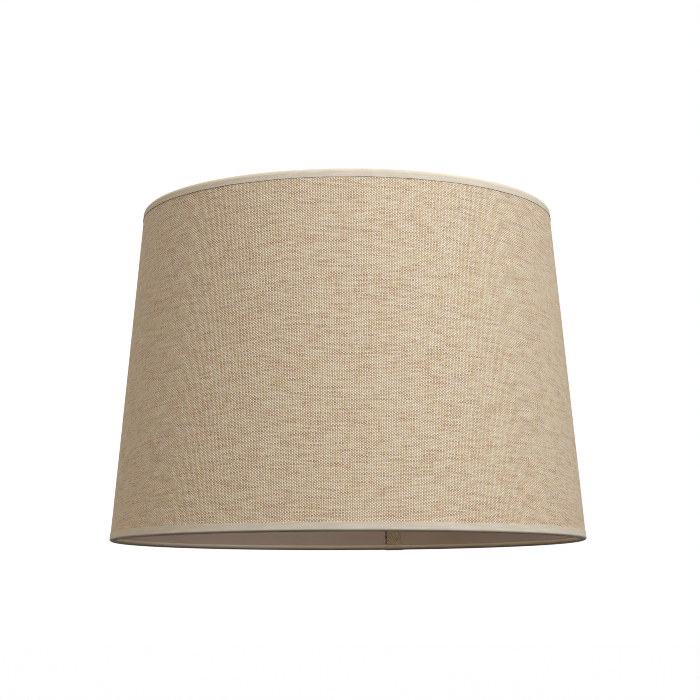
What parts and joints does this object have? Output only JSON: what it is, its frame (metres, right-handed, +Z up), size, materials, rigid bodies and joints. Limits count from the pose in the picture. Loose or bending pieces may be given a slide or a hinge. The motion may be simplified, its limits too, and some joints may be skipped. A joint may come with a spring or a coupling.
{
  "type": "lamp shade",
  "caption": "Tapered round hardback lamp shade of woven cloth on a stiff lining, with bound rims and a three-arm fitter set down inside for a table or floor lamp.",
  "frame": {"origin": "centre of the bottom rim, on the shade's axis, at its lowest face", "axes": "+Z up along the shade's axis, towards the narrow top rim; +Y towards the seam side at the back; +X to the right seen from the front"},
  "size_m": [0.3998, 0.3998, 0.28],
  "materials": {
    "cloth": "plain weave of slubbed beige and brown yarn, matte",
    "lining": "thin off-white sheet, satin",
    "adhesive": "double-sided adhesive strip",
    "binding": "fine plain-woven cream tape, matte",
    "wire": "white powder coat",
    "reducer": "white moulded plastic, satin"
  },
  "bodies": {
    "shade": {"outer_fabric": "cloth", "lining": "lining", "seam_tape": "adhesive", "top_trim": "binding", "bottom_trim": "binding", "top_ring": "wire", "bottom_ring": "wire", "spoke_1": "wire", "spoke_2": "wire", "spoke_3": "wire", "fitter_ring": "wire"},
    "reducer": {"reducer_ring": "reducer"}
  },
  "joints": [
    {"name": "reducer_lift", "type": "slide", "parent": "shade", "child": "reducer", "axis": [0, 0, 1], "range_m": [0, 0.06]}
  ]
}
